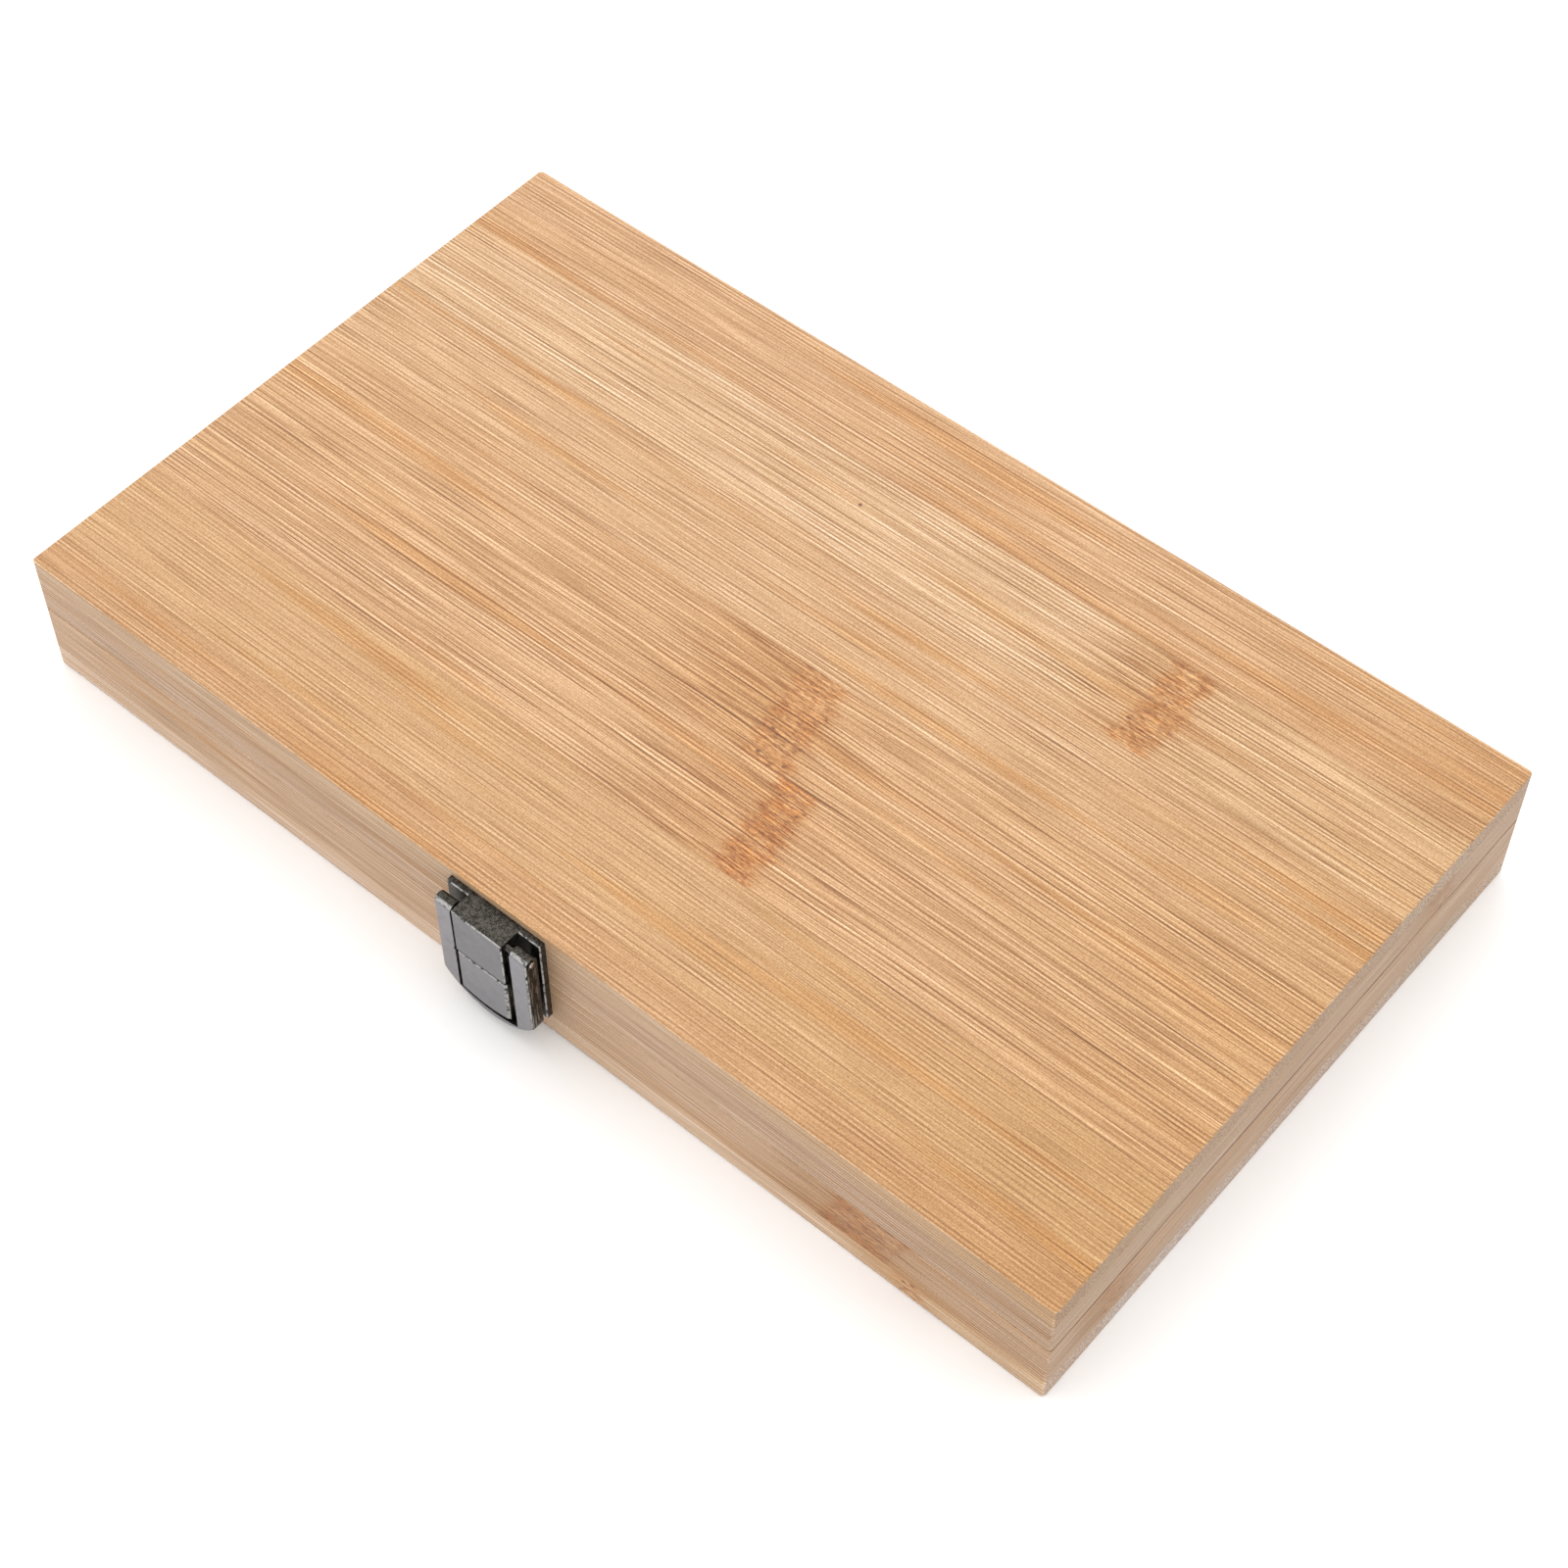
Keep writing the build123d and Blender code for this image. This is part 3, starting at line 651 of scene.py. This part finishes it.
class Plating(Finish):
    """Plated metal with a mottled patina between a dark and a middle tone."""

    def __init__(self, name, dark, mid, roughness):
        super().__init__(name, roughness, 1.0)
        self.mottle = self.noise(self.millimetres, 1.1, 4.0, 0.65)
        self.grain = self.noise(self.millimetres, 5.5, 2.0, 0.6)
        patina = self.line(self.grain, 0.6, self.times(self.mottle, 0.4))
        self.colour = self.blend(self.ease(patina, 0.4, 0.62), dark, mid)
        self.height = self.plus(self.mottle, self.times(self.grain, 0.5))
        self.give("Roughness", self.line(self.mottle, 0.25, roughness))

    def done(self):
        self.give("Base Color", self.colour)
        self.relief(self.height, 0.35, GRAIN_DEPTH)
        return self.material


hinge_metal = Plating("hinge plating", (0.045, 0.038, 0.03), (0.18, 0.155, 0.13), 0.32).done()

pin_steel = Finish("pin steel", 0.2, 1.0)
turned = pin_steel.noise(pin_steel.millimetres, 2.4, 2.0)
pin_end = pin_steel.ease(pin_steel.size(pin_steel.facing[0]), 0.4, 0.7)
bare = pin_steel.times(pin_end, pin_steel.ease(turned, 0.3, 0.5))
pin_steel.give("Base Color", pin_steel.blend(bare, (0.05, 0.045, 0.04), (0.55, 0.54, 0.52)))
pin_steel.relief(turned, 0.3, 0.00008)

for hinge in ("left_hinge", "right_hinge"):
    finish(f"{hinge}_base_leaf", hinge_metal)
    finish(f"{hinge}_lid_leaf", hinge_metal)
    finish(f"{hinge}_pin", pin_steel.material)


# ---- Clasp: a cast plate with a raised block on the lid, one on the base, and a lever whose
# arms turn on a bright pin through the lid's block. Antique plating, rubbed back to a satin
# grey on the outer faces.

def clasp_plating():
    """Dark and mottled, but satin where the metal stands proud at the front and was polished."""
    dark, mid, outer = (0.017, 0.015, 0.012), (0.1, 0.092, 0.08), (0.27, 0.26, 0.275)
    dull, grimy, bare = (0.8, 0.79, 0.78), (0.6, 0.6, 0.6), (0.46, 0.45, 0.44)
    seam, left = 15.28, 0.4  # millimetres: the blocks' joint is so high and so far to the left
    metal = Plating("clasp plating", dark, mid, 0.3)
    times, ease, size = metal.times, metal.ease, metal.size
    x, y, z = metal.add("SeparateXYZ", {0: metal.millimetres}).outputs
    side, front = metal.facing[0], metal.facing[1]
    proud = ease(y, -66.5, -67.2)

    # The arms' outer sides get upright streaks, painted highlights as where they catch the light
    drawn = metal.noise(metal.point(x, times(y, 2.2), times(z, 0.12)), 1.6, 3.0, 0.7)
    flank = times(proud, ease(size(side), 0.6, 0.9))
    streak_highlights = metal.blend(ease(drawn, 0.48, 0.6), dimmed(dark, 0.5), dimmed(mid, 3.0))
    metal.colour = metal.blend(flank, metal.colour, streak_highlights)

    # Polished outer faces, with a few dull patches; the blocks are darker than the lever
    worn = times(proud, ease(front, -0.8, -0.97))
    patches = times(ease(metal.noise(metal.millimetres, 0.35, 3.0, 0.6), 0.45, 0.72), 0.5)
    blocks = metal.blend(ease(z, seam, seam - 0.1), dimmed(outer, 0.74), dimmed(outer, 0.91))
    satin = metal.blend(ease(size(x), 5.9, 6.0), blocks, outer)
    satin = metal.tinted(patches, satin, dull)
    satin = metal.tinted(times(ease(metal.grain, 0.62, 0.72), 0.35), satin, grimy)

    # Their rounded edges are lighter in places: partly rubbed bare, partly a painted highlight
    edges = times(ease(front, -0.35, -0.6), ease(front, -0.99, -0.94))
    worn_and_highlit_edges = times(times(edges, metal.less(1.0, worn)), ease(metal.mottle, 0.36, 0.54))
    metal.colour = metal.blend(times(worn_and_highlit_edges, 0.85), metal.colour, bare)
    metal.colour = metal.blend(worn, metal.colour, satin)

    # Painted shade in the narrow gap between the two blocks
    between = ease(size(metal.less(z, seam)), 0.5, 0.22)
    seam_shade = times(between, ease(size(metal.plus(x, left)), 6.0, 5.8))
    metal.colour = metal.blend(seam_shade, metal.colour, dimmed(dark, 0.4))
    metal.height = times(metal.height, metal.line(worn, -0.75, 1.0))
    return metal.done()


clasp_metal = clasp_plating()
for plate in ("clasp_catch_plate", "clasp_lid_plate", "clasp_lever"):
    finish(plate, clasp_metal)
finish("clasp_pin", pin_steel.material)


# ---- Screws: small countersunk wood screws with a domed head and a cross recess, four in
# each half of the case's hinges and two in each clasp plate, each turned as it happened to stop.

SCREW_SIZES = {  # metres
    "Head radius": 0.0018, "Shank radius": 0.0009, "Dome": 0.00022, "Length": 0.006,
    "Recess width": 0.0006, "Recess length": 0.0021, "Recess depth": 0.0007,
}
RIM_BACK = 0.00025  # how far a head's rim lies behind the front of the plain screw it replaces


def screw_tree():
    """Countersunk screws set on the points of a mesh, each facing the way that is given."""
    tree = bpy.data.node_groups.new("countersunk screws", "GeometryNodeTree")
    face = tree.interface
    face.new_socket("Points", in_out="INPUT", socket_type="NodeSocketGeometry")
    for name, value in SCREW_SIZES.items():
        socket = face.new_socket(name, in_out="INPUT", socket_type="NodeSocketFloat")
        socket.default_value = value
    face.new_socket("Facing", in_out="INPUT", socket_type="NodeSocketVector")
    face.new_socket("Metal", in_out="INPUT", socket_type="NodeSocketMaterial")
    face.new_socket("Screws", in_out="OUTPUT", socket_type="NodeSocketGeometry")

    def add(kind, inputs={}, **settings):
        return wired(tree, kind, inputs, settings)

    def work(operation, a, b=0.0):
        return add("ShaderNodeMath", {0: a, 1: b}, operation=operation).outputs[0]

    def up(height):
        return add("ShaderNodeCombineXYZ", {2: height}).outputs[0]

    def moved(shape, translation, **more):
        places = {0: shape.outputs[0], "Translation": translation, **more}
        return add("GeometryNodeTransform", places)

    # The head: a cone, its flat top raised to a dome
    given = add("NodeGroupInput").outputs
    head_r, shank_r = given["Head radius"], given["Shank radius"]
    depth = work("SUBTRACT", head_r, shank_r)
    cone = {"Vertices": 40, "Side Segments": 2, "Fill Segments": 5,
            "Radius Top": head_r, "Radius Bottom": shank_r, "Depth": depth}
    head = add("GeometryNodeMeshCone", cone)
    x, y, z = add("ShaderNodeSeparateXYZ", {0: add("GeometryNodeInputPosition").outputs[0]}).outputs
    from_middle = work("SQRT", work("ADD", work("POWER", x, 2.0), work("POWER", y, 2.0)))
    out = work("DIVIDE", from_middle, head_r)
    rise = work("MULTIPLY", given["Dome"], work("SUBTRACT", 1.0, work("MULTIPLY", out, out)))
    on_top = work("GREATER_THAN", z, work("MULTIPLY", depth, 0.99))
    dome = {"Geometry": head.outputs[0], "Selection": on_top, "Offset": up(rise)}
    domed = add("GeometryNodeSetPosition", dome)
    set_head = moved(domed, up(work("MULTIPLY", depth, -1.0)))

    # The cross recess: two crossed bars, cut from the head
    bar = {0: given["Recess length"], 1: given["Recess width"],
           2: work("MULTIPLY", given["Recess depth"], 2.0)}
    size = add("ShaderNodeCombineXYZ", bar).outputs[0]
    slot = add("GeometryNodeMeshCube", {0: size})
    lift = up(given["Dome"])
    cut = add("GeometryNodeMeshBoolean", {"Mesh 1": set_head.outputs[0]}, operation="DIFFERENCE")
    for turn in (0.0, pi / 2):
        tool = moved(slot, lift, Rotation=(0.0, 0.0, turn))
        tree.links.new(tool.outputs[0], cut.inputs["Mesh 2"])

    # The shank under it
    shank_length = work("SUBTRACT", given["Length"], depth)
    rod = {"Vertices": 24, "Radius": shank_r, "Depth": shank_length}
    half_down = work("ADD", work("MULTIPLY", shank_length, 0.5), depth)
    set_shank = moved(add("GeometryNodeMeshCylinder", rod), up(work("MULTIPLY", half_down, -1.0)))
    whole = add("GeometryNodeJoinGeometry")
    tree.links.new(cut.outputs[0], whole.inputs[0])
    tree.links.new(set_shank.outputs[0], whole.inputs[0])

    # One on each point, turned by chance
    chance = {"Min": (0.0, 0.0, 0.0), "Max": (0.0, 0.0, pi / 2), "Seed": 4}
    stop = add("FunctionNodeRandomValue", chance, data_type="FLOAT_VECTOR").outputs[0]
    turned = add("FunctionNodeRotateRotation", rotation_space="LOCAL")
    for n, angles in enumerate((given["Facing"], stop)):
        angle = add("FunctionNodeEulerToRotation", {0: angles}).outputs[0]
        tree.links.new(angle, turned.inputs[n])
    seeds = {"Points": given["Points"], "Instance": whole.outputs[0], "Rotation": turned.outputs[0]}
    sown = add("GeometryNodeInstanceOnPoints", seeds)
    real = add("GeometryNodeRealizeInstances", {0: sown.outputs[0]})
    coat = {"Geometry": real.outputs[0], "Material": given["Metal"]}
    add("NodeGroupOutput", {"Screws": add("GeometryNodeSetMaterial", coat).outputs[0]})
    return tree


screw_metal = Plating("screw plating", (0.04, 0.032, 0.025), (0.17, 0.14, 0.11), 0.3).done()
screws = screw_tree()
inputs = {item.name: item.identifier for item in screws.interface.items_tree
          if item.in_out == "INPUT"}
for node, body, facing in (("base_hinge_screws", "base", -1), ("lid_hinge_screws", "lid", -1),
                           ("clasp_catch_screws", "base", 1), ("clasp_lid_screws", "lid", 1)):
    points = []
    for low, high in shells(node):
        front = low.y + RIM_BACK if facing > 0 else high.y - RIM_BACK
        points.append(((low.x + high.x) / 2, front, (low.z + high.z) / 2))
    mesh = bpy.data.meshes.new(node + " places")
    mesh.from_pydata(points, [], [])
    places = bpy.data.objects.new(node + "_places", mesh)
    bpy.context.scene.collection.objects.link(places)
    maker = places.modifiers.new("screws", "NODES")
    maker.node_group = screws
    maker[inputs["Facing"]] = (facing * pi / 2, 0.0, 0.0)
    maker[inputs["Metal"]] = screw_metal
    bpy.context.view_layer.update()
    shown = places.evaluated_get(bpy.context.evaluated_depsgraph_get())
    made = bpy.data.meshes.new_from_object(shown)
    places.modifiers.clear()
    bpy.data.objects.remove(places)
    made.name = "cross_" + node
    piece = bpy.data.objects.new("cross_" + node, made)
    bpy.context.scene.collection.objects.link(piece)
    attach(piece, body)
    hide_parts(node)


# ---- Stage: a white table, a white room and one large soft lamp overhead, and the camera
# where the photographer stood, above the right-hand end of the clasp side.

reach, top = 6, -0.0001  # metres
corners = [(-reach, -reach, top), (reach, -reach, top), (reach, reach, top), (-reach, reach, top)]
table_mesh = bpy.data.meshes.new("table")
table_mesh.from_pydata(corners, [], [(0, 1, 2, 3)])
table = bpy.data.objects.new("table", table_mesh)
bpy.context.scene.collection.objects.link(table)
white = Finish("white table", 0.9)
cloudy = white.noise(white.millimetres, 0.01, 2.0)
white.give("Base Color", white.blend(cloudy, (0.93, 0.93, 0.93), (0.95, 0.95, 0.95)))
table_mesh.materials.append(white.material)

room = bpy.data.worlds.new("white room")
room.use_nodes = True
background = room.node_tree.nodes["Background"].inputs
background["Color"].default_value = (1.0, 1.0, 1.0, 1.0)
background["Strength"].default_value = ROOM_LIGHT
bpy.context.scene.world = room

lamp = bpy.data.objects.new("soft lamp", bpy.data.lights.new("soft lamp", "AREA"))
lamp.data.size = 1.6
lamp.data.energy = 5.4
lamp.location = (-0.5, 0.3, 1.5)
lamp.rotation_euler = Vector((0.5, -0.3, -1.5)).to_track_quat("-Z", "Y").to_euler()
bpy.context.scene.collection.objects.link(lamp)

looking_down, turned_left = 53.462, 40.354  # degrees
camera = bpy.data.objects.new("camera", bpy.data.cameras.new("camera"))
camera.data.sensor_width = 36.0
camera.data.lens = 70.973
camera.data.clip_start = 0.01
camera.location = (0.21154, -0.24354, 0.42918)
camera.rotation_euler = (radians(90 - looking_down), 0.0, radians(turned_left))
bpy.context.scene.collection.objects.link(camera)
bpy.context.scene.camera = camera
bpy.context.scene.view_settings.view_transform = "Standard"
